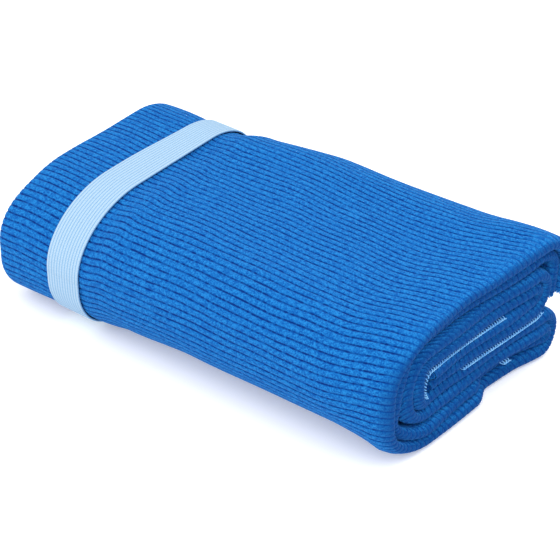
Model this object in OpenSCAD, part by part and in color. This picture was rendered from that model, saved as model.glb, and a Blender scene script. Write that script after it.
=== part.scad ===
// Quick dry towel, book folded, wrapped into a flat pack and held by an elastic loop.
// X runs along the ribs of the cloth, Z is up, and the origin is at the middle of the underside.

/* [Pack] */
// Length of the pack along the ribs
pack_l = 284; // [260:1:320]
// Width of the free part of the pack
pack_w = 180; // [170:1:200]
// Height of the free part of the pack
pack_h = 84; // [78:1:92]
// Radius of the rounded front and back of the pack
pack_r = 38; // [30:1:38]

/* [Folds] */
// Gap between two neighbouring passes of the folded strip
fold_gap = 0.6; // [0.4:0.1:1.2]
// Depth of the crease between the two folds that end each pass
crease_depth = 9; // [4:1:14]
// How far the lower packet stands back from the pack's back
lower_inset = 6; // [4:1:24]
// Radius of the back turns of both packets
packet_r = 14; // [10:1:15]

/* [Held end] */
// Distance from the pack's left end to the elastic
band_from_end = 38; // [30:1:50]
// How much narrower the held end is than the free part
end_narrower = 14; // [6:1:20]

/* [Elastic] */
// Width of the elastic
band_w = 25; // [15:1:30]
// Thickness of the elastic
band_t = 1.2; // [0.8:0.1:1.6]
// Running gap between the elastic and the held end of the cloth
band_clear = 0.4; // [0.3:0.1:0.8]
// Length over which the elastic's two ends lie on each other
overlap_l = 16; // [12:1:20]
// Rows of stitching that close the elastic
seam_rows = 4; // [2:1:5]

/* [Overlock] */
// Width of the overlock stitching on the cloth's edges
lock_w = 3; // [2:0.5:4]
// Thickness of the overlock stitching
lock_t = 1.6; // [1.2:0.1:1.8]
// Length of the stitched edge that shows under the second pass
upper_edge_l = 62; // [40:1:70]
// Length of the stitched edge that shows under the middle pass
middle_edge_l = 104; // [70:1:110]
// Length of the stitched corner that shows in the lower packet
corner_l = 7; // [4:1:10]

/* [Hidden] */
$fn = 96;
PASSES = 5;
PLIES = 4;
crease_w = 0.8;
seam_w = 0.8;
seam_sunk = 0.5;
seam_inset = 1; // from the sides of the elastic to the ends of its seam
channel_play = 2; // room above and below the doubled elastic
front_depth = 60; // how much of the pack's width its rounded front takes
edge_start = 9; // from the core's front to the stitched edges that show beside it
corner_start = 91; // from the core's front to the stitched corner
past = 1; // how far a cut runs past the face that it opens

left_x = -pack_l / 2;
right_x = pack_l / 2;
band_x0 = left_x + band_from_end;
band_x1 = band_x0 + band_w;
front_y = -pack_w / 2;
back_y = pack_w / 2;
held = band_t + band_clear;

// An outline is [front, bottom, back, top]: the free part, the elastic's outside, and the held end.
FREE = [front_y, 0, back_y, pack_h];
BAND = [front_y, 0, back_y - end_narrower, pack_h];
HELD = inset(BAND, held);

// Middle of the overlap in the elastic, on the straight stretch of its back
overlap_z = pack_h / 2;

function inset(box, d) = [box[0] + d, box[1] + d, box[2] - d, box[3] - d];
function pass_t(box) = (box[3] - box[1] - (PASSES - 1) * fold_gap) / PASSES;
function pitch(box) = pass_t(box) + fold_gap;
// Underside of a pass, counted from 0 at the bottom
function pass_z(box, k) = box[1] + k * pitch(box);
// Level where the outermost pass ends, after it has turned down over the back
function tail_z(box) = pass_z(box, 3) - pass_t(box) / 2;
// Front of the middle pass, where the cloth's inner long edge starts
function core_y(box) = box[0] + 2 * pitch(box);

// ---- Flat shapes: x is the width of the pack, y is its height ----

module rounded(box, r) {
    translate([box[0] + r, box[1]]) square([box[2] - box[0] - 2 * r, box[3] - box[1]]);
    translate([box[0], box[1] + r]) square([box[2] - box[0], box[3] - box[1] - 2 * r]);
    for (y = [box[0] + r, box[2] - r], z = [box[1] + r, box[3] - r]) translate([y, z]) circle(r);
}

// A thin line that bends round the front, with an upper and a lower leg of their own lengths
module front_bend(y0, z0, z1, r, w, upper_y, lower_y) {
    reach = y0 + r;
    difference() {
        rounded([y0, z0, reach + r + past, z1], r);
        rounded([y0 + w, z0 + w, reach + r + past, z1 - w], r - w);
        translate([reach, z0 - past]) square([2 * r + past, z1 - z0 + 2 * past]);
    }
    translate([reach, z1 - w]) square([upper_y - reach, w]);
    translate([reach, z0]) square([lower_y - reach, w]);
}

// The same line bending round the back
module back_bend(y1, z0, z1, r, w, front) {
    mirror([1, 0]) front_bend(-y1, z0, z1, r, w, -front, -front);
}

// The two gaps that part the passes: one round the core, one round the four inner passes
module pass_gaps(box) {
    t = pass_t(box);
    upper_back = box[2] - t - fold_gap;
    lower_back = box[2] - lower_inset;
    front_bend(box[0] + t, box[1] + t, box[3] - t, pack_r - t, fold_gap, box[2] - pack_r, lower_back - t);
    front_bend(core_y(box) - fold_gap, pass_z(box, 2) - fold_gap, pass_z(box, 3), t / 2, fold_gap,
               upper_back - t, back_y + past);
}

// Middle lines of the folded strip, where two folds meet at the free end of every pass
module creases(box) {
    half = pass_t(box) / 2;
    below = half - crease_w / 2;
    above = half + crease_w / 2;
    upper_back = box[2] - pitch(box) - below;
    lower_back = box[2] - lower_inset - below;
    mid = box[0] + pack_w / 2;
    front_bend(box[0] + below, box[1] + below, box[3] - below, pack_r - below, crease_w,
               box[2] - pack_r, mid);
    front_bend(box[0] + pitch(box) + below, pass_z(box, 1) + below, pass_z(box, 3) + above, packet_r,
               crease_w, mid, mid);
    back_bend(upper_back, pass_z(box, 2) + below, pass_z(box, 3) + above, half, crease_w, mid - past);
    translate([core_y(box) + half, pass_z(box, 2) + below]) square([mid - core_y(box) - half, crease_w]);
    back_bend(lower_back, pass_z(box, 0) + below, pass_z(box, 1) + above, half, crease_w, mid - past);
}

// Section of the whole pack: the front, the outer pass over the top and back, and both packets
module pack_section(box) {
    t = pass_t(box);
    front_end = box[0] + front_depth;
    intersection() {
        rounded(box, pack_r);
        difference() {
            union() {
                translate([box[0], box[1]]) square([front_end - box[0], box[3] - box[1]]);
                difference() {
                    translate([front_end - past, tail_z(box)]) square([pack_w, box[3]]);
                    rounded(inset(box, t), pack_r - t);
                }
                rounded([front_end - pack_r, pass_z(box, 2), box[2] - pitch(box), pass_z(box, 4) - fold_gap],
                        packet_r);
                rounded([front_end - pack_r, box[1], box[2] - lower_inset, pass_z(box, 2) - fold_gap],
                        packet_r);
            }
            pass_gaps(box);
        }
    }
}

module along(x0, x1) {
    translate([x0, 0, 0]) rotate([90, 0, 90]) linear_extrude(x1 - x0) children();
}

// ---- Cloth and its edges ----

// Stitched edges that show at the free end: under the second and third pass, and one small corner
module end_edges() {
    rows = [
        [edge_start, pass_z(FREE, 3), upper_edge_l],
        [edge_start, pass_z(FREE, 2), middle_edge_l],
        [corner_start, pass_z(FREE, 1), corner_l],
    ];
    for (row = rows)
        translate([right_x - lock_w, core_y(FREE) + row[0], row[1]]) cube([lock_w + past, row[2], lock_t]);
}

// The inner long edge of the strip, one stitched edge for each ply
module core_edges(box, x0, x1) {
    ply = pass_t(box) / PLIES;
    for (k = [0:PLIES - 1])
        translate([x0, core_y(box) + pass_t(box) / 2 - lock_w,
                   pass_z(box, 2) + (k + 0.5) * ply - lock_t / 2])
            cube([x1 - x0, lock_w, lock_t]);
}

// The outer long edge, which hangs down the back of the upper packet
module tail_edges(box, x0, x1) {
    ply = pass_t(box) / PLIES;
    for (k = [0:PLIES - 1])
        translate([x0, box[2] - (k + 0.5) * ply - lock_t / 2, tail_z(box) - lock_w])
            cube([x1 - x0, lock_t, lock_w]);
}

module towel_cloth() {
    channel_h = overlap_l + 2 * channel_play;
    color([0.09, 0.40, 0.75]) difference() {
        union() {
            along(band_x1, right_x) pack_section(FREE);
            along(left_x, band_x1) pack_section(HELD);
        }
        along(right_x - crease_depth, right_x + past) creases(FREE);
        end_edges();
        core_edges(FREE, band_x1, right_x + past);
        // room for the doubled elastic at the back of the held end
        translate([left_x - past, HELD[2] - band_t, overlap_z - channel_h / 2])
            cube([band_x1 - left_x + past, held + past, channel_h]);
    }
}

module short_edge_overlock() {
    color([0.55, 0.77, 0.93]) intersection() {
        end_edges();
        translate([left_x, front_y, 0]) cube([pack_l, pack_w, pack_h]);
    }
}

module long_edge_overlock() {
    color([0.55, 0.77, 0.93]) {
        core_edges(FREE, band_x1, right_x);
        tail_edges(FREE, band_x1, right_x);
        tail_edges(HELD, left_x, band_x1);
    }
}

// ---- Elastic loop ----

// Rows of stitching across the overlap, sunk flush with the outside of the elastic
module seam_bars() {
    row_pitch = overlap_l / (seam_rows + 1);
    for (k = [1:seam_rows])
        translate([band_x0 + seam_inset, BAND[2] - seam_sunk,
                   overlap_z - overlap_l / 2 + k * row_pitch - seam_w / 2])
            cube([band_w - 2 * seam_inset, seam_sunk, seam_w]);
}

module elastic_band() {
    color([0.68, 0.84, 0.95]) difference() {
        union() {
            along(band_x0, band_x1) difference() {
                rounded(BAND, pack_r);
                rounded(inset(BAND, band_t), pack_r - band_t);
            }
            translate([band_x0, BAND[2] - 2 * band_t, overlap_z - overlap_l / 2])
                cube([band_w, band_t, overlap_l]);
        }
        seam_bars();
    }
}

module band_seam() {
    color([0.86, 0.93, 0.98]) seam_bars();
}

towel_cloth();
short_edge_overlock();
long_edge_overlock();
elastic_band();
band_seam();
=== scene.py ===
"""Quick dry towel: a ribbed cloth, book folded, wrapped into a flat pack and held by an elastic loop.

X runs along the ribs, Y across the pack and Z up, in metres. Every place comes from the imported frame.
"""
import math

import bpy
import numpy as np
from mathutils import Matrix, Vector


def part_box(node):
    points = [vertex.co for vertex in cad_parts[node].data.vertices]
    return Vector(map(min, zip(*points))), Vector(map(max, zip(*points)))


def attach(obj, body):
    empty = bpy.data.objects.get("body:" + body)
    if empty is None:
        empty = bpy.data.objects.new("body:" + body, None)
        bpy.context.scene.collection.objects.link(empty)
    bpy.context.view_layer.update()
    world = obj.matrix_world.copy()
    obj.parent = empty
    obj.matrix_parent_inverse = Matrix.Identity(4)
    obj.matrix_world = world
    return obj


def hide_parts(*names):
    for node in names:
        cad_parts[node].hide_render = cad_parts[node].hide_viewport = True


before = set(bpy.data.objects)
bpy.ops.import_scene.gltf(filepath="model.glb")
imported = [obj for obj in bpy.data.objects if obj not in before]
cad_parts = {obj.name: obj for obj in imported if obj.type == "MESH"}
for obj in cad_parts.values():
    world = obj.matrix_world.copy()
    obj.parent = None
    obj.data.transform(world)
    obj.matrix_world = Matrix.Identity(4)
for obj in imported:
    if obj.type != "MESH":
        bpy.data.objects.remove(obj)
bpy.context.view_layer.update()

MM = 0.001
PACK_LOW, PACK_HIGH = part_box("towel_cloth")
BAND_LOW, BAND_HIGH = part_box("elastic_band")
LEFT, RIGHT = PACK_LOW[0], PACK_HIGH[0]
BAND0, BAND1 = BAND_LOW[0], BAND_HIGH[0]

# ---- Sizes that the frame doesn't hold ----
BAND_T = 1.2 * MM
BAND_CLEAR = 0.4 * MM
HELD = BAND_T + BAND_CLEAR
PASSES = 5
PASS_GAP = 0.5 * MM
RIB_PITCH = 4.4 * MM
RIB_DEPTH = 0.6 * MM
PLY_FILL = 0.95  # how much of its share of a pass one ply fills
FREE_END_INSET = 14 * MM
LOWER_INSET = 6 * MM
REFERENCE_X = 20 * MM  # where the plies' thickness is taken
FLOOR_HALF = 3.0  # half of the floor's side, in metres
THREAD_R = 0.34 * MM
SHORT_PITCH = 2.0 * MM  # from one overlock loop to the next on the short edges
LONG_PITCH = 1.5 * MM  # the same on the long edge

# Rows across one rib, as shares of its pitch: the groove is at 0. Ribs inside the pack have fewer.
RIB_ROWS = (0.0, 0.08, 0.18, 0.5, 0.82, 0.92)
INNER_ROWS = (0.0, 0.18, 0.5, 0.82)


# ---- Shape helpers ----

def ease(knots, x):
    """A smooth curve through (place, value) knots, level at each of them."""
    places, values = np.array(knots, float).T
    i = np.clip(np.searchsorted(places, x, side="right") - 1, 0, len(places) - 2)
    t = np.clip((x - places[i]) / (places[i + 1] - places[i]), 0, 1)
    return values[i] + (values[i + 1] - values[i]) * t * t * (3 - 2 * t)


def ripple(a, b, size, seed, waves=7):
    """Smooth noise of about -1 to 1 over two coordinates, with features of about this size."""
    rng = np.random.default_rng(seed)
    total = 0
    for _ in range(waves):
        turn, phase = rng.uniform(0, 2 * math.pi, 2)
        k = 2 * math.pi / (size * rng.uniform(0.7, 1.7))
        total = total + np.sin(k * (a * math.cos(turn) + b * math.sin(turn)) + phase)
    return total / math.sqrt(waves)


def make_mesh(name, points, faces, uv=None, smooth=True):
    """An object from points and faces, with one UV for each point if it is given."""
    mesh = bpy.data.meshes.new(name)
    mesh.from_pydata(np.asarray(points).tolist(), [], faces)
    if uv is not None:
        layer = mesh.uv_layers.new(name="cloth")
        corner = np.empty(len(mesh.loops), np.int32)
        mesh.loops.foreach_get("vertex_index", corner)
        layer.data.foreach_set("uv", np.asarray(uv, np.float32)[corner].ravel())
    mesh.polygons.foreach_set("use_smooth", [smooth] * len(mesh.polygons))
    mesh.update()
    mesh.validate()
    piece = bpy.data.objects.new(name, mesh)
    bpy.context.scene.collection.objects.link(piece)
    return piece


def grid_faces(rows, cols, start=0, flip=False):
    """Quads over a grid of points numbered row by row from start."""
    r, c = np.meshgrid(np.arange(rows - 1), np.arange(cols - 1), indexing="ij")
    a = (start + r * cols + c).ravel()
    quads = np.stack([a, a + 1, a + cols + 1, a + cols], 1)
    return quads[:, ::-1] if flip else quads


# ---- The pack's outline along X ----

HELD_TOP = BAND_HIGH[2] - HELD
HELD_FRONT = BAND_LOW[1] + HELD
HELD_BACK = BAND_HIGH[1] - HELD

TOP = ((LEFT, HELD_TOP - 0.5 * MM), (LEFT + 12 * MM, HELD_TOP), (BAND1 + 0.5 * MM, HELD_TOP),
       (BAND1 + 20 * MM, HELD_TOP + 2.8 * MM), (BAND1 + 60 * MM, HELD_TOP + 2.6 * MM),
       (RIGHT - 30 * MM, HELD_TOP + 2.4 * MM), (RIGHT, HELD_TOP + 1.6 * MM))
BOTTOM = ((LEFT, HELD), (BAND1 + 0.5 * MM, HELD), (BAND1 + 20 * MM, 0), (RIGHT, 0))
FRONT = ((LEFT, HELD_FRONT), (BAND1 + 0.5 * MM, HELD_FRONT), (BAND1 + 26 * MM, HELD_FRONT - 1.2 * MM),
         (RIGHT - 40 * MM, HELD_FRONT - 1.2 * MM), (RIGHT - 12 * MM, HELD_FRONT + 3.5 * MM),
         (RIGHT, HELD_FRONT + 9 * MM))
BACK = ((LEFT, HELD_BACK), (BAND1 + 0.5 * MM, HELD_BACK), (BAND1 + 24 * MM, HELD_BACK + 5 * MM),
        (BAND1 + 76 * MM, PACK_HIGH[1] - 1 * MM), (RIGHT, PACK_HIGH[1]))
# Rounding of the outline's corners, along Y and along Z
FRONT_TOP_Y = ((LEFT, 56 * MM), (BAND1, 56 * MM), (-50 * MM, 48 * MM), (0, 38 * MM), (60 * MM, 34 * MM),
               (RIGHT, 38 * MM))
FRONT_TOP_Z = ((LEFT, 40 * MM), (BAND1, 40 * MM), (-50 * MM, 36 * MM), (60 * MM, 35 * MM), (RIGHT, 34 * MM))
FRONT_LOW_Y = ((LEFT, 30 * MM), (BAND1, 34 * MM), (-50 * MM, 48 * MM), (0, 57 * MM), (100 * MM, 60 * MM),
               (RIGHT, 38 * MM))
FRONT_LOW_Z = ((LEFT, 30 * MM), (BAND1, 34 * MM), (-50 * MM, 42 * MM), (0, 46 * MM), (100 * MM, 48 * MM),
               (RIGHT, 33 * MM))
BACK_TOP_Y = ((LEFT, 36 * MM), (BAND1, 38 * MM), (-50 * MM, 40 * MM), (RIGHT - 50 * MM, 38 * MM),
              (RIGHT, 26 * MM))
BACK_TOP_Z = ((LEFT, 26 * MM), (BAND1, 27 * MM), (-50 * MM, 33 * MM), (RIGHT - 50 * MM, 31 * MM),
              (RIGHT, 22 * MM))

# Direction of each straight stretch of the folded strip, as (y, z), from the core to the tail
LEGS = ((1, 0), (0, 1), (-1, 0), (0, -1), (1, 0), (0, -1), (-1, 0), (0, 1), (1, 0), (0, -1))


def pass_thickness(x):
    return (ease(TOP, x) - ease(BOTTOM, x) - (PASSES - 1) * PASS_GAP) / PASSES


def strip_corners(x):
    """Corner points of the folded strip's middle line at x, and the rounding of each along Y and Z."""
    front, back, bottom = ease(FRONT, x), ease(BACK, x), ease(BOTTOM, x)
    t = pass_thickness(x)
    half, pitch = t / 2, t + PASS_GAP
    level = [bottom + half + k * pitch for k in range(PASSES)]
    outer_front, inner_front = front + half, front + half + pitch
    upper_back, lower_back = back - pitch - half, back - LOWER_INSET - half
    turn = (pitch / 2, pitch / 2)
    inner = (np.maximum(ease(FRONT_TOP_Y, x) - half - pitch, 0.8 * pitch), pitch * 0.999)
    inner_low = (np.maximum(ease(FRONT_LOW_Y, x) - half - pitch, 0.8 * pitch), pitch * 0.999)
    core = front + 2 * pitch + half
    points = [(core, level[2]), (upper_back, level[2]), (upper_back, level[3]),
              (inner_front, level[3]), (inner_front, level[1]),
              (lower_back, level[1]), (lower_back, level[0]),
              (outer_front, level[0]), (outer_front, level[4]),
              (back - half, level[4]), (back - half, level[1])]
    rounding = [None, turn, turn, inner, inner_low, turn, turn,
                (ease(FRONT_LOW_Y, x) - half, ease(FRONT_LOW_Z, x) - half),
                (ease(FRONT_TOP_Y, x) - half, ease(FRONT_TOP_Z, x) - half),
                (ease(BACK_TOP_Y, x) - half, ease(BACK_TOP_Z, x) - half), None]
    return points, rounding


def strip_at(segment, share, x):
    """Middle line of the strip at x: its point and heading, a share of the way along a segment.

    Even segments are the straight legs and odd ones the turns between them.
    """
    points, rounding = strip_corners(x)
    leg = segment // 2
    dy, dz = LEGS[leg]

    def reach(corner, way):
        if rounding[corner] is None:
            return 0
        return rounding[corner][0] if way[0] else rounding[corner][1]

    if segment % 2 == 0:
        r0, r1 = reach(leg, (dy, dz)), reach(leg + 1, (dy, dz))
        (y0, z0), (y1, z1) = points[leg], points[leg + 1]
        y = (y0 + dy * r0) * (1 - share) + (y1 - dy * r1) * share
        z = (z0 + dz * r0) * (1 - share) + (z1 - dz * r1) * share
        return y, z, dy + 0 * y, dz + 0 * z
    ey, ez = LEGS[leg + 1]
    r0, r1 = reach(leg + 1, (dy, dz)), reach(leg + 1, (ey, ez))
    y0, z0 = points[leg + 1]
    back, on = 1 - np.sin(share * math.pi / 2), 1 - np.cos(share * math.pi / 2)
    y = y0 - dy * r0 * back + ey * r1 * on
    z = z0 - dz * r0 * back + ez * r1 * on
    hy = dy * r0 * np.cos(share * math.pi / 2) + ey * r1 * np.sin(share * math.pi / 2)
    hz = dz * r0 * np.cos(share * math.pi / 2) + ez * r1 * np.sin(share * math.pi / 2)
    size = np.hypot(hy, hz)
    return y, z, hy / size, hz / size


SEGMENTS = 2 * len(LEGS) - 1
BOTTOM_LEG, FRONT_LOW_TURN, TOP_LEG = 12, 13, 16
KNOTS = 121  # places along X where the strip is measured


def measure_strip():
    """Length along the strip's outer side from the middle of the top, at marks along it, for places along X.

    A mark is a segment's number plus the share of the way along it.
    """
    places = np.linspace(LEFT - 4 * MM, RIGHT + 8 * MM, KNOTS)
    steps = np.linspace(0, 1, 41)
    marks, line = [], []
    for segment in range(SEGMENTS):
        for share in steps[(segment > 0):]:
            y, z, hy, hz = strip_at(segment, share, places)
            side = 1 if segment < 9 else -1
            half = side * pass_thickness(places) / 2
            line.append(np.stack([y + half * hz, z - half * hy], 1))
            marks.append(segment + share)
    line, marks = np.array(line), np.array(marks)
    steps_between = np.linalg.norm(np.diff(line, axis=0), axis=2)
    far = np.concatenate([np.zeros((1, KNOTS)), np.cumsum(steps_between, axis=0)])
    top = np.searchsorted(marks, TOP_LEG + 0.5)
    return places, marks, far - far[top]


PLACES, MARKS, LENGTHS = measure_strip()
TAIL_Z_SHARE = 0.34  # how far down its leg the outer long edge hangs, at the middle of the pack


def place_rows():
    """Rows of the cloth as a count of ribs from the middle of the top, and the row that starts each rib."""
    middle = KNOTS // 2
    tail = np.interp(SEGMENTS - 1 + TAIL_Z_SHARE, MARKS, LENGTHS[:, middle])
    core = LENGTHS[:, middle].min()
    outer = np.interp(BOTTOM_LEG, MARKS, LENGTHS[:, middle])
    phases, starts = [], []
    for rib in range(math.ceil(core / RIB_PITCH), math.floor(tail / RIB_PITCH)):
        starts.append(len(phases))
        phases += [rib + share for share in (RIB_ROWS if rib * RIB_PITCH > outer else INNER_ROWS)]
    starts.append(len(phases))
    return np.array(phases + [rib + 1]), starts


def row_marks(phase, x):
    """Mark of each row at each place: ribs keep their pitch, measured along the strip's outer side."""
    length = np.asarray(phase) * RIB_PITCH
    table = np.stack([np.interp(length, LENGTHS[:, k], MARKS) for k in range(KNOTS)], 1)
    at = np.clip((x - PLACES[0]) / (PLACES[1] - PLACES[0]), 0, KNOTS - 1.001)
    k = at.astype(int)
    rows = np.arange(len(length))[:, None]
    return table[rows, k] * (1 - at + k) + table[rows, k + 1] * (at - k)


# ---- The sheet's section along the ribs ----

FOLD_X = 4.4 * MM  # reach of a fold's middle line past its straight plies at the free end
NOSE_X = 5.0 * MM  # the same for the big fold at the held end
BACK_REACH = 8 * MM  # how much further the free end reaches at the back than at the front
NOSE_REACH = 3 * MM  # how far the big fold swells past the held end
NOSE_FRONT_REACH = 3.5 * MM  # how much further it swells at the front
# How far the lowest pass's end is tucked in, from the front of the pack to its back
LOW_END = ((-85 * MM, 0), (-50 * MM, -3 * MM), (2 * MM, -1.5 * MM), (22 * MM, 5.5 * MM),
           (42 * MM, 5.5 * MM), (75 * MM, 0))
PLY_SHARES = (0.125, 0.375)  # the plies' middle lines, as shares of the pass's thickness on either side


def back_reach(y):
    """How much further than at its front the free end reaches at this place across the pack."""
    return BACK_REACH * ease(((-30 * MM, 0), (PACK_HIGH[1] - 10 * MM, 1)), y)


def sheet_profile():
    """Columns of the cloth from one free end to the other: place between the ends, offset in X, offset in the
    pass, and the direction of the cloth's right side. All four plies of a pass are in it."""
    inner, outer = PLY_SHARES
    ref = pass_thickness(np.array([REFERENCE_X]))[0]
    columns = []

    def straight(share, start, end, step, face):
        count = max(int(abs(end - start) * (RIGHT - LEFT) / step), 2)
        for place in np.linspace(start, end, count + 1)[1:-1]:
            columns.append((place, 0.0, share, 0.0, face))

    def turn(centre, reach, end, steps, first, last, square=2.0):
        width = inner if end else outer
        for angle in np.radians(np.linspace(first, last, steps)):
            c, d = math.cos(angle), math.sin(angle)
            nx = math.copysign(abs(c) ** (2 - 2 / square), c) / reach
            nf = math.copysign(abs(d) ** (2 - 2 / square), d) / (width * ref)
            size = math.hypot(nx, nf)
            columns.append((end, reach * math.copysign(abs(c) ** (2 / square), c),
                            centre + width * math.copysign(abs(d) ** (2 / square), d), nx / size, nf / size))

    tucked = FREE_END_INSET / (RIGHT - LEFT)
    band = (BAND1 - LEFT) / (RIGHT - LEFT)
    straight(inner, tucked, 1, 16 * MM, -1)
    turn((inner + outer) / 2, FOLD_X, 1, 13, -90, 90, 1.8)
    straight(outer, 1, band + 0.12, 4 * MM, 1)
    straight(outer, band + 0.125, band - 0.01, 1.8 * MM, 1)
    straight(outer, band - 0.01, 0, 4 * MM, 1)
    turn(0, NOSE_X, 0, 17, 90, 270, 2.8)
    straight(-outer, 0, 1, 6 * MM, -1)
    turn(-(inner + outer) / 2, FOLD_X, 1, 13, -90, 90, 1.8)
    straight(-inner, 1, tucked, 16 * MM, 1)
    return np.array(columns).T


def rib_height(phase):
    """Height of the ribs' surface over the grooves, from 0 to 1."""
    gap = np.abs((phase + 0.5) % 1 - 0.5)
    return 1 - np.exp(-((gap / 0.105) ** 2))


def cloth_points(phase, profile, side):
    """Points of the cloth's right side (side 1), its middle (0) or its wrong side (-1)."""
    place, off_x, off_n, face_x, face_n = profile
    along = (phase - PHASES[0]) * RIB_PITCH
    upper = (off_n > 0)[None, :]
    s = along[:, None]
    # the folds at the free end don't line up exactly, and the pack is longest at its back
    marks = row_marks(phase, np.full((1, 1), RIGHT))
    reach = np.array([strip_at(int(m), m - int(m), RIGHT)[0] for m in marks[:, 0]])[:, None]
    inset = 1.1 * MM * np.where(upper, ripple(s, 0 * s, 80 * MM, 5), ripple(s, 0 * s, 60 * MM, 6)) + 0.4 * MM
    inset = inset - back_reach(reach)
    lowest = ((BOTTOM_LEG - 0.6, 0), (BOTTOM_LEG, 1), (FRONT_LOW_TURN, 1), (FRONT_LOW_TURN + 1, 0))
    inset = inset + ease(lowest, marks) * ease(LOW_END, reach)
    # the outermost fold covers the lip of the one beneath it
    inset = inset + np.where(upper, -0.8 * MM, 2.2 * MM) * np.clip((marks - FRONT_LOW_TURN + 1) / 2, 0, 1)
    nose_inset = 0.6 * MM * ripple(s, 0 * s, 90 * MM, 7) - NOSE_REACH
    nose_marks = row_marks(phase, np.full((1, 1), LEFT))
    nose_y = np.array([strip_at(int(m), m - int(m), LEFT)[0] for m in nose_marks[:, 0]])[:, None]
    swelling = ((HELD_FRONT + 6 * MM, 1), (HELD_FRONT + 36 * MM, 0))
    nose_inset = nose_inset - NOSE_FRONT_REACH * ease(swelling, nose_y)
    thick = PLY_FILL * pass_thickness(np.array([REFERENCE_X]))[0] / 4
    x_right = RIGHT - FOLD_X - thick / 2 - inset
    x_left = LEFT + NOSE_X + thick / 2 + nose_inset
    x = x_left + (x_right - x_left) * place[None, :] + off_x[None, :]

    mark = np.clip(row_marks(phase, x), 0, SEGMENTS - 1e-6)
    segment = mark.astype(int)
    y, z, hy, hz = (np.empty_like(x) for _ in range(4))
    for k in range(SEGMENTS):
        mine = segment == k
        if mine.any():
            y[mine], z[mine], hy[mine], hz[mine] = strip_at(k, mark[mine] - k, x[mine])

    t = pass_thickness(x)
    ply = PLY_FILL * t / 4
    # the overlocked long edges are pressed thin
    edge = np.minimum(along, along[-1] - along)[:, None]
    ply = ply * (0.6 + 0.4 * np.clip(edge / (5 * MM), 0, 1))
    depth = RIB_DEPTH * (1 - rib_height(phase))[:, None] * (1 - 0.45 * np.abs(face_x))[None, :]
    lift = {1: ply / 2 - depth, 0: 0 * ply, -1: -ply / 2}[side]
    n = off_n[None, :] * t + lift * face_n[None, :]
    x_out = x + lift * face_x[None, :]

    # soft waves of the outermost ply over the front, top and back
    cover = np.clip((mark - FRONT_LOW_TURN - 0.3) / 1.2, 0, 1) * np.clip((off_n[None, :] - 0.1) / 0.25, 0, 1)
    wave = 0.8 * MM * ripple(x, s, 95 * MM, 11) + 0.35 * MM * ripple(x, s, 38 * MM, 12)
    past = np.clip(x - BAND1, 0, None)
    pinch = np.exp(-past / (13 * MM)) * (0.7 * MM * ripple(s, 0.3 * x, 22 * MM, 13) - 0.3 * MM)
    wave = wave * np.clip(past / (14 * MM), 0, 1) + pinch * np.clip(past / (2 * MM), 0, 1)
    wave = np.where(x < BAND1, -0.25 * MM * (1 + ripple(x, s, 40 * MM, 14)), wave)
    n = n + wave * cover
    slide = 0.35 * MM * ripple(x, s, 60 * MM, 15) + 0.12 * MM * ripple(x, s, 18 * MM, 16)
    slide = slide * np.clip(edge / (8 * MM), 0, 1)
    y = y - hz * n + hy * slide
    z = z + hy * n + hz * slide
    return np.stack([x_out, y, z], 2)


PHASES, RIB_STARTS = place_rows()


def build_cloth():
    """The whole folded sheet as one closed mesh: ribbed right side, plainer wrong side and four edges."""
    profile = sheet_profile()
    right = cloth_points(PHASES, profile, 1)
    wrong = cloth_points(PHASES[RIB_STARTS], profile, -1)
    n_rows, n_cols = right.shape[:2]
    start = n_rows * n_cols
    faces = grid_faces(n_rows, n_cols, flip=True).tolist()
    faces += grid_faces(len(RIB_STARTS), n_cols, start).tolist()
    for col in (0, n_cols - 1):  # the tucked ends: a fan of fine rows on each coarse row
        for j, (first, last) in enumerate(zip(RIB_STARTS, RIB_STARTS[1:])):
            fine = [row * n_cols + col for row in range(first, last + 1)]
            loop = fine + [start + (j + 1) * n_cols + col, start + j * n_cols + col]
            faces.append(loop if col == 0 else loop[::-1])
    for row, coarse in ((0, 0), (n_rows - 1, len(RIB_STARTS) - 1)):  # the long edges
        for c in range(n_cols - 1):
            a, b = row * n_cols + c, start + coarse * n_cols + c
            quad = [a, a + 1, b + 1, b]
            faces.append(quad if row == 0 else quad[::-1])
    step = np.linalg.norm(np.diff(right[len(right) // 2], axis=0), axis=1)
    u = np.concatenate([[0], np.cumsum(step)])
    uv = np.concatenate([
        np.stack(np.broadcast_arrays(u[None, :], PHASES[:, None]), 2).reshape(-1, 2),
        np.stack(np.broadcast_arrays(u[None, :], PHASES[RIB_STARTS][:, None]), 2).reshape(-1, 2)])
    points = np.concatenate([right.reshape(-1, 3), wrong.reshape(-1, 3)])
    return make_mesh("ribbed_cloth", points, faces, uv)


# ---- Thread ----

def tube(path, radius, sides, start):
    """Points and faces of a thread along a path, with closed ends."""
    path = np.asarray(path)
    ahead = np.gradient(path, axis=0)
    ahead /= np.linalg.norm(ahead, axis=1, keepdims=True)
    a = np.empty_like(ahead)
    side = np.cross(ahead[0], np.roll(ahead[0], 1) + (0.1, 0.2, 0.3))
    for i, way in enumerate(ahead):  # each ring's side is the last one's, turned as little as possible
        side = side - way * np.dot(side, way)
        side = side / np.linalg.norm(side)
        a[i] = side
    b = np.cross(ahead, a)
    angle = np.arange(sides) * 2 * math.pi / sides
    ring = a[:, None] * np.cos(angle)[None, :, None] + b[:, None] * np.sin(angle)[None, :, None]
    points = (path[:, None] + radius * ring).reshape(-1, 3)
    count = len(path)
    faces = []
    for j in range(sides):
        k = (j + 1) % sides
        base = start + np.arange(count - 1) * sides
        faces += np.stack([base + j, base + k, base + k + sides, base + j + sides], 1).tolist()
    faces.append([start + j for j in range(sides)][::-1])
    faces.append([start + (count - 1) * sides + j for j in range(sides)])
    return points, faces


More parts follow.
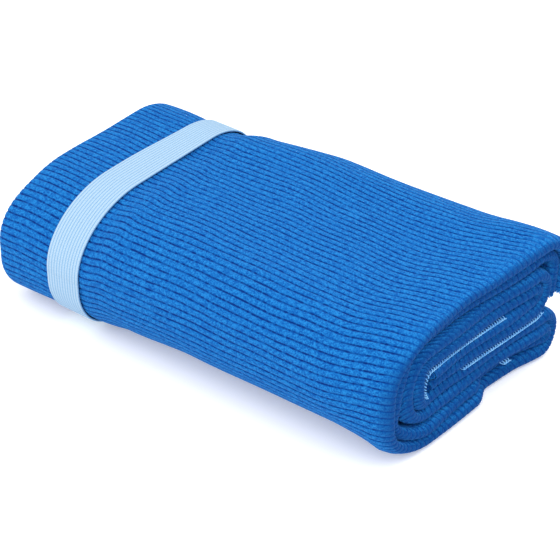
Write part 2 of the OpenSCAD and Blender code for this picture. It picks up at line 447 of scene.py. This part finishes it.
def overlock(name, edges, pitch, radius, steps=9, sides=5):
    """Overlock loops round edges, each a centre line and its loops' reach into and across the cloth."""
    points, faces = [], []
    start = 0
    for centre, deep, wide in edges:
        far = np.concatenate([[0], np.cumsum(np.linalg.norm(np.diff(centre, axis=0), axis=1))])
        turns = max(int(far[-1] / pitch), 1)
        at = np.linspace(0, far[-1], turns * steps)

        def sample(values):
            return np.stack([np.interp(at, far, values[:, i]) for i in range(3)], 1)

        angle = (at / far[-1] * turns * 2 * math.pi)[:, None]
        lean = 0.30 * pitch * np.sin(angle)
        ahead = np.gradient(sample(centre), axis=0)
        ahead /= np.maximum(np.linalg.norm(ahead, axis=1, keepdims=True), 1e-9)
        path = sample(centre) + sample(deep) * np.cos(angle) + sample(wide) * np.sin(angle) + ahead * lean
        p, f = tube(path, radius, sides, start)
        points.append(p)
        faces += f
        start += len(p)
    return make_mesh(name, np.concatenate(points), faces)


# Stitched short edges at the free end: first and last mark, and the side of the strip that they lie on
SHORT_EDGES = ((4.3, 7.6, 1), (0.3, 1.3, -1), (8.64, 8.7, -1))
SHORT_INSET = 2.6 * MM  # from the free end to the middle of its stitches
SHORT_DEEP, SHORT_WIDE = 2.0 * MM, 0.95 * MM
SHORT_SUNK = 0.2 * MM
LONG_INSET = 0.9 * MM
LONG_DEEP, LONG_WIDE = 1.7 * MM, 1.35 * MM


def end_edge(first, last, side):
    """An overlocked short edge lying against one side of the strip at the free end, between two marks."""
    marks = np.linspace(first, last, 90)
    line = np.array([[v.item() for v in strip_at(int(m), m - int(m), np.array([RIGHT]))] for m in marks])
    y, z, hy, hz = line.T
    x = RIGHT - SHORT_INSET + back_reach(y)
    n = side * (pass_thickness(x) / 2 - SHORT_SUNK)
    centre = np.stack([x, y - hz * n, z + hy * n], 1)
    deep = np.tile([SHORT_DEEP, 0, 0], (len(marks), 1))
    wide = np.stack([0 * y, -hz, hy], 1) * SHORT_WIDE
    return centre, deep, wide


def long_edge(profile):
    """The overlocked outer long edge of the strip, round all four plies."""
    row, near = PHASES[-1:], PHASES[-3:-2]
    middle = cloth_points(row, profile, 0)[0]
    inward = cloth_points(near, profile, 0)[0] - middle
    inward /= np.linalg.norm(inward, axis=1, keepdims=True)
    face = cloth_points(row, profile, 1)[0] - middle
    face /= np.linalg.norm(face, axis=1, keepdims=True)
    return middle + inward * LONG_INSET, inward * LONG_DEEP, face * LONG_WIDE


# ---- Elastic ----

CORDS = 12
SEAM_LOW, SEAM_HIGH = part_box("band_seam")
SEAM_ROWS = 4
SEAM_STITCHES = 12  # in a row
SEAM_INSET = 1.2 * MM  # from the elastic's sides to the ends of a row
SEAM_SUNK, SEAM_HUMP = 0.5 * MM, 0.62 * MM  # a stitch's ends dip in and its middle rises this far from them
SEAM_THREAD_R = 0.27 * MM
SEAM_MIDDLE = (SEAM_LOW[2] + SEAM_HIGH[2]) / 2
OVERLAP = 16 * MM
OVERLAP_INSET = 0.3 * MM
BAND_DRAWN = 3.5 * MM  # how much narrower the elastic is over the top of the back


def band_ring(x, off):
    """Points round the elastic at x, off from the held cloth's outline, spaced evenly."""
    front, back = ease(FRONT, x) - off, ease(BACK, x) + off
    bottom, top = ease(BOTTOM, x) - off, ease(TOP, x) + off
    corners = ((front, top, FRONT_TOP_Y, FRONT_TOP_Z, 180), (back, top, BACK_TOP_Y, BACK_TOP_Z, 90),
               (back, bottom, FRONT_LOW_Y, FRONT_LOW_Z, 0), (front, bottom, FRONT_LOW_Y, FRONT_LOW_Z, -90))
    points = []
    for y, z, wide, tall, first in corners:
        ry, rz = ease(wide, x) + off, ease(tall, x) + off
        cy = y + ry if y < 0 else y - ry
        cz = z + rz if z <= 0.02 else z - rz
        for angle in np.radians(np.linspace(first, first - 90, 60)):
            points.append((cy + ry * math.cos(angle), cz + rz * math.sin(angle)))
    loop = np.array(points + points[:1])
    far = np.concatenate([[0], np.cumsum(np.hypot(*np.diff(loop, axis=0).T))])
    at = np.linspace(0, far[-1], 461)[:-1]
    return np.stack([np.interp(at, far, loop[:, i]) for i in range(2)], 1), at


def build_elastic():
    """The elastic loop: lengthwise rubber cords under a fine weave, between two flat selvedges."""
    middle = (BAND0 + BAND1) / 2
    inner, at = band_ring(middle, BAND_CLEAR)
    outer, _ = band_ring(middle, HELD)
    out = outer - inner
    out /= np.linalg.norm(out, axis=1, keepdims=True)
    across = np.linspace(0, 1, CORDS * 6 + 1)
    cord = np.abs(np.sin(across * CORDS * math.pi)) ** 0.7
    edge = np.clip(np.minimum(across, 1 - across) / 0.03, 0, 1)
    relief = (cord - 1) * 0.22 * MM - (1 - edge) * 0.35 * MM
    rows, cols = len(at), len(across)
    weave = 0.035 * MM * np.sin(at[:, None] / (1.6 * MM) * 2 * math.pi)
    bow = 0.25 * MM * ripple(at, 0 * at, 120 * MM, 21)
    seam_top = SEAM_MIDDLE + OVERLAP
    narrow = ease(((-20 * MM, 0), (50 * MM, 1)), outer[:, 0])
    narrow = narrow * ease(((seam_top, 0), (seam_top + 20 * MM, 1)), outer[:, 1])
    x = BAND0 + (BAND1 - BAND0) * across[None, :] + bow[:, None] * 0.8
    x = x + BAND_DRAWN * narrow[:, None] * (1 - across)[None, :]
    lift = relief[None, :] + weave
    top = np.stack([x, outer[:, :1] + out[:, :1] * lift, outer[:, 1:] + out[:, 1:] * lift], 2)
    under = np.stack([x, inner[:, :1] + 0 * x, inner[:, 1:] + 0 * x], 2)
    points = np.concatenate([top.reshape(-1, 3), under.reshape(-1, 3)])
    faces = []
    start = rows * cols
    for r in range(rows):
        a, b = r * cols, (r + 1) % rows * cols
        for c in range(cols - 1):
            faces.append([a + c, b + c, b + c + 1, a + c + 1])
            faces.append([start + a + c, start + a + c + 1, start + b + c + 1, start + b + c])
        faces.append([a, start + a, start + b, b])
        e = cols - 1
        faces.append([a + e, b + e, start + b + e, start + a + e])
    uv = np.stack(np.broadcast_arrays(at[:, None], across[None, :]), 2).reshape(-1, 2)
    return make_mesh("elastic_loop", points, faces, np.concatenate([uv, uv]))


def build_overlap():
    """The elastic's inner end, lying under the outer one at the back where the two are sewn together."""
    count = 40
    back = BAND_HIGH[1] - BAND_T
    z = np.linspace(SEAM_MIDDLE - OVERLAP / 2, SEAM_MIDDLE + OVERLAP / 2, count)
    across = np.linspace(0, 1, CORDS * 4 + 1)
    x = BAND0 + OVERLAP_INSET + (BAND1 - BAND0 - 2 * OVERLAP_INSET) * across[None, :] + 0 * z[:, None]
    relief = 0.12 * MM * (1 - np.abs(np.sin(across * CORDS * math.pi)))[None, :] + 0 * z[:, None]
    layers = [np.stack([x, back - depth - sign * relief, z[:, None] + 0 * x], 2)
              for depth, sign in ((0.02 * MM, 1), (BAND_T - 0.02 * MM, -1))]
    rows, cols = x.shape
    start = rows * cols
    faces = grid_faces(rows, cols).tolist() + grid_faces(rows, cols, start, flip=True).tolist()
    rim = [(r * cols, (r + 1) * cols) for r in range(rows - 1)]
    rim += [((rows - 1) * cols + c, (rows - 1) * cols + c + 1) for c in range(cols - 1)]
    rim += [((r + 1) * cols - 1, r * cols - 1) for r in range(rows - 1, 0, -1)]
    rim += [(c, c - 1) for c in range(cols - 1, 0, -1)]
    faces += [[a, b, start + b, start + a] for a, b in rim]
    uv = np.stack(np.broadcast_arrays(z[:, None], across[None, :]), 2).reshape(-1, 2)
    return make_mesh("elastic_inner_end", np.concatenate([layer.reshape(-1, 3) for layer in layers]), faces,
                     np.concatenate([uv, uv]))


def build_seam():
    """Rows of stitches through both ends of the elastic: each stitch dips in at its ends."""
    points, faces, start = [], [], 0
    for row in range(SEAM_ROWS):
        z = SEAM_MIDDLE - OVERLAP / 2 + (row + 1) * OVERLAP / (SEAM_ROWS + 1)
        edges = np.linspace(BAND0 + SEAM_INSET, BAND1 - SEAM_INSET, SEAM_STITCHES + 1)
        for a, b in zip(edges, edges[1:]):
            t = np.linspace(0.04, 0.96, 9)
            tilt = 0.12 * MM * (t - 0.5)
            proud = SEAM_HUMP * np.sin(t * math.pi) ** 0.5 - SEAM_SUNK
            path = np.stack([a + (b - a) * t, BAND_HIGH[1] + proud, z + tilt], 1)
            p, f = tube(path, SEAM_THREAD_R, 6, start)
            points.append(p)
            faces += f
            start += len(p)
    return make_mesh("seam_stitches", np.concatenate(points), faces)


# ---- Materials ----

class Nodes:
    """A material's node tree, with short calls for the nodes that these materials use."""

    def __init__(self, name, rough, sheen):
        self.material = bpy.data.materials.new(name)
        self.material.use_nodes = True
        self.tree = self.material.node_tree
        self.shader = self.tree.nodes["Principled BSDF"]
        self.shader.inputs["Roughness"].default_value = rough
        self.shader.inputs["Sheen Weight"].default_value = sheen
        self.shader.inputs["Sheen Roughness"].default_value = 0.45
        self.shader.inputs["Sheen Tint"].default_value = (0.45, 0.72, 1.0, 1)
        self.shader.inputs["Specular IOR Level"].default_value = 0.08

    def add(self, kind, **settings):
        node = self.tree.nodes.new("ShaderNode" + kind)
        for key, value in settings.items():
            setattr(node, key, value)
        return node

    def link(self, value, socket):
        if isinstance(value, (int, float, tuple)):
            socket.default_value = value
        else:
            self.tree.links.new(value, socket)

    def math(self, operation, a, b=0.0, clamp=False):
        node = self.add("Math", operation=operation, use_clamp=clamp)
        self.link(a, node.inputs[0])
        self.link(b, node.inputs[1])
        return node.outputs[0]

    def span(self, value, low, high, to_low=0.0, to_high=1.0):
        node = self.add("MapRange", interpolation_type="SMOOTHSTEP")
        for socket, v in zip(node.inputs, (value, low, high, to_low, to_high)):
            self.link(v, socket)
        return node.outputs[0]

    def mix(self, factor, a, b):
        node = self.add("Mix", data_type="RGBA")
        self.link(factor, node.inputs[0])
        self.link(a, node.inputs[6])
        self.link(b, node.inputs[7])
        return node.outputs[2]

    def uv(self):
        node = self.add("UVMap", uv_map="cloth")
        parts = self.add("SeparateXYZ")
        self.link(node.outputs[0], parts.inputs[0])
        return parts.outputs[0], parts.outputs[1]

    def point(self, x, y, z=0.0):
        node = self.add("CombineXYZ")
        for socket, v in zip(node.inputs, (x, y, z)):
            self.link(v, socket)
        return node.outputs[0]

    def noise(self, vector, scale, detail=2.0, rough=0.5):
        node = self.add("TexNoise")
        self.link(vector, node.inputs["Vector"])
        node.inputs["Scale"].default_value = scale
        node.inputs["Detail"].default_value = detail
        node.inputs["Roughness"].default_value = rough
        return node.outputs[0]

    def object_point(self):
        return self.add("TexCoord").outputs["Object"]

    def bump(self, height, distance, strength=1.0):
        node = self.add("Bump")
        node.inputs["Strength"].default_value = strength
        node.inputs["Distance"].default_value = distance
        self.link(height, node.inputs["Height"])
        self.link(node.outputs[0], self.shader.inputs["Normal"])


def srgb(r, g, b):
    """A colour given as 0 to 255, as a shader's linear one."""
    def channel(v):
        v /= 255
        return v / 12.92 if v <= 0.04045 else ((v + 0.055) / 1.055) ** 2.4
    return (channel(r), channel(g), channel(b), 1.0)


PILE_DARK, PILE_LIGHT, PILE_MIDDLE = srgb(2, 70, 146), srgb(34, 126, 195), srgb(14, 98, 174)
# Painted shade: on the ribs' flanks next to the groove, in the groove over its knitted line, and on the faces
# turned to the free end.
PAINTED_FLANK_SHADE, KNIT_LINE_AND_GROOVE_SHADE, PAINTED_END_SHADE = srgb(2, 76, 158), srgb(0, 40, 116), srgb(4, 54, 118)


def towel_material():
    """Ribbed microfibre: raised piled ribs with a broken knitted line between them, painted dark as shade in
    the groove.
    """
    m = Nodes("ribbed_microfibre", 0.95, 0.06)
    u, v = m.uv()
    gap = m.math("ABSOLUTE", m.math("SUBTRACT", m.math("FRACT", m.math("ADD", v, 0.5)), 0.5))
    rib = m.math("FLOOR", m.math("ADD", v, 0.5))
    stitch = m.noise(m.point(m.math("MULTIPLY", u, 420), m.math("MULTIPLY", rib, 7.3)), 1.0, 1.0, 0.6)
    drift = m.noise(m.point(m.math("MULTIPLY", u, 45), m.math("MULTIPLY", v, 0.35), 3.0), 1.0)
    # groove: the broken knitted line, darkened as painted shade in the groove; it also sinks the bump
    groove = m.math("SUBTRACT", 1.0, m.span(gap, 0.03, m.span(stitch, 0.3, 0.7, 0.1, 0.2)))
    broken = m.math("ADD", stitch, m.math("MULTIPLY", drift, 0.5))
    groove = m.math("MULTIPLY", groove, m.span(broken, 0.52, 0.9, 0.3, 1.0))
    place = m.object_point()
    across = m.add("SeparateXYZ")
    m.link(place, across.inputs[0])
    # the painted groove shade is weaker over the folds at the free end
    groove = m.math("MULTIPLY", groove, m.span(across.outputs[0], RIGHT - 9 * MM, RIGHT - 2 * MM, 1.0, 0.45))
    pile = m.noise(place, 1150.0, 2.0, 0.6)
    tuft = m.noise(place, 480.0, 2.0, 0.6)
    patch = m.noise(place, 26.0, 2.0)
    fuzz = m.math("ADD", m.math("MULTIPLY", pile, 0.6), m.math("MULTIPLY", tuft, 0.4))
    light = m.mix(m.span(fuzz, 0.38, 0.62), PILE_DARK, PILE_LIGHT)
    tone = m.mix(m.math("MULTIPLY", patch, 0.5), light, PILE_MIDDLE)
    # painted shade on the ribs' flanks, darkest next to the groove
    tone = m.mix(m.span(gap, 0.05, 0.3, 0.35, 0.0), tone, PAINTED_FLANK_SHADE)
    # painted shade on the faces turned towards the free end (+X)
    facing = m.add("SeparateXYZ")
    m.link(m.add("TexCoord").outputs["Normal"], facing.inputs[0])
    tone = m.mix(m.span(facing.outputs[0], 0.3, 0.9, 0.0, 0.75), tone, PAINTED_END_SHADE)
    # the knitted line in the groove is painted dark as shade in the recess
    m.link(m.mix(groove, tone, KNIT_LINE_AND_GROOVE_SHADE), m.shader.inputs["Base Color"])
    m.bump(m.math("SUBTRACT", fuzz, m.math("MULTIPLY", groove, 0.7)), 0.5 * MM, 0.8)
    return m.material


def elastic_material():
    """Pale woven elastic: twelve cords with a fine cross weave."""
    m = Nodes("woven_elastic", 0.75, 0.05)
    u, v = m.uv()
    cord = m.math("ABSOLUTE", m.math("SINE", m.math("MULTIPLY", v, CORDS * math.pi)))
    weft = m.math("SINE", m.math("MULTIPLY", u, 2 * math.pi / (0.9 * MM)))
    row = m.math("FLOOR", m.math("MULTIPLY", v, CORDS * 2))
    shift = m.math("MULTIPLY", m.math("MODULO", row, 2.0), math.pi)
    twill = m.math("SINE", m.math("ADD", m.math("MULTIPLY", u, 2 * math.pi / (1.1 * MM)), shift))
    fibre = m.noise(m.point(m.math("MULTIPLY", u, 900), m.math("MULTIPLY", v, 160)), 1.0, 2.0, 0.6)
    weave = m.math("ADD", m.math("MULTIPLY", m.math("ADD", weft, twill), 0.16), fibre)
    light = m.mix(m.span(weave, 0.2, 0.9), srgb(146, 176, 203), srgb(175, 198, 215))
    colour = m.mix(m.span(cord, 0.05, 0.7, 0.75, 0.0), light, srgb(86, 144, 192))
    m.link(colour, m.shader.inputs["Base Color"])
    m.bump(m.math("ADD", m.math("MULTIPLY", cord, 0.6), m.math("MULTIPLY", weave, 0.4)), 0.3 * MM, 0.7)
    return m.material


def thread_material(name, dark, light):
    """Spun polyester thread, paler along the top of its twist."""
    m = Nodes(name, 0.55, 0.2)
    place = m.object_point()
    twist = m.noise(place, 1800.0, 2.0, 0.6)
    drift = m.noise(place, 140.0, 1.0)
    blend = m.span(m.math("ADD", m.math("MULTIPLY", twist, 0.7), m.math("MULTIPLY", drift, 0.3)), 0.3, 0.7)
    m.link(m.mix(blend, dark, light), m.shader.inputs["Base Color"])
    m.bump(twist, 0.1 * MM, 0.5)
    return m.material


def floor_material():
    m = Nodes("studio_floor", 0.8, 0.0)
    m.shader.inputs["Emission Color"].default_value = (1, 1, 1, 1)
    m.shader.inputs["Emission Strength"].default_value = 0.25
    tint = m.noise(m.object_point(), 3.0, 2.0)
    m.link(m.mix(tint, (0.86, 0.86, 0.87, 1), (0.89, 0.89, 0.895, 1)), m.shader.inputs["Base Color"])
    return m.material


def dress(piece, material):
    piece.data.materials.clear()
    piece.data.materials.append(material)


# ---- Pieces ----

def make_pieces():
    cloth = build_cloth()
    dress(cloth, towel_material())
    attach(cloth, "towel")
    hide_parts("towel_cloth")

    thread = thread_material("overlock_thread", srgb(70, 150, 222), srgb(150, 208, 245))
    short = overlock("short_edge_stitches",
                     [end_edge(*edge) for edge in SHORT_EDGES], SHORT_PITCH, THREAD_R)
    dress(short, thread)
    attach(short, "towel")
    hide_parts("short_edge_overlock")

    long = overlock("long_edge_stitches", [long_edge(sheet_profile())], LONG_PITCH, THREAD_R, 8)
    dress(long, thread)
    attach(long, "towel")
    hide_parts("long_edge_overlock")

    elastic = build_elastic()
    dress(elastic, elastic_material())
    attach(elastic, "band")
    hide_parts("elastic_band")
    inner_end = build_overlap()
    dress(inner_end, elastic.data.materials[0])
    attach(inner_end, "band")
    seam = build_seam()
    dress(seam, thread_material("seam_thread", srgb(205, 224, 240), srgb(236, 244, 250)))
    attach(seam, "band")
    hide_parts("band_seam")


# ---- Stage, light and camera ----

def add_light(name, place, size, power, aim):
    data = bpy.data.lights.new(name, "AREA")
    data.shape = "DISK"
    data.size = size
    data.energy = power
    lamp = bpy.data.objects.new(name, data)
    lamp.location = place
    lamp.rotation_euler = (aim - Vector(place)).to_track_quat("-Z", "Y").to_euler()
    bpy.context.scene.collection.objects.link(lamp)


def make_stage():
    corners = [(x * FLOOR_HALF, y * FLOOR_HALF, 0) for x, y in ((-1, -1), (1, -1), (1, 1), (-1, 1))]
    floor = make_mesh("floor", corners, [[0, 1, 2, 3]])
    floor.data.materials.append(floor_material())
    world = bpy.data.worlds.new("studio")
    world.use_nodes = True
    world.node_tree.nodes["Background"].inputs[0].default_value = (1.0, 1.0, 1.0, 1)
    world.node_tree.nodes["Background"].inputs[1].default_value = 1.0
    bpy.context.scene.world = world
    middle = Vector((0, 0, 0.04))
    add_light("key", (0.45, -0.35, 1.3), 1.4, 10, middle)
    add_light("fill", (-0.9, -1.0, 0.9), 1.2, 7, middle)
    add_light("back", (0.3, 1.2, 0.9), 1.2, 5, middle)


def make_camera():
    azimuth, elevation, distance = math.radians(38.4), math.radians(35.8), 1.2485
    centre, aim = Vector((0, -0.004, 0)), Vector((-0.0058, 0.0112, 0.0215))
    back = Vector((math.sin(azimuth) * math.cos(elevation), -math.cos(azimuth) * math.cos(elevation),
                   math.sin(elevation)))
    data = bpy.data.cameras.new("camera")
    data.lens = 131.5
    data.sensor_width = 36
    camera = bpy.data.objects.new("camera", data)
    stand = centre + back * distance
    camera.location = stand
    camera.rotation_euler = (aim - stand).to_track_quat("-Z", "Y").to_euler()
    data.clip_start, data.clip_end = 0.01, 20
    bpy.context.scene.collection.objects.link(camera)
    bpy.context.scene.camera = camera
    bpy.context.scene.view_settings.view_transform = "Standard"


make_camera()
make_stage()
make_pieces()
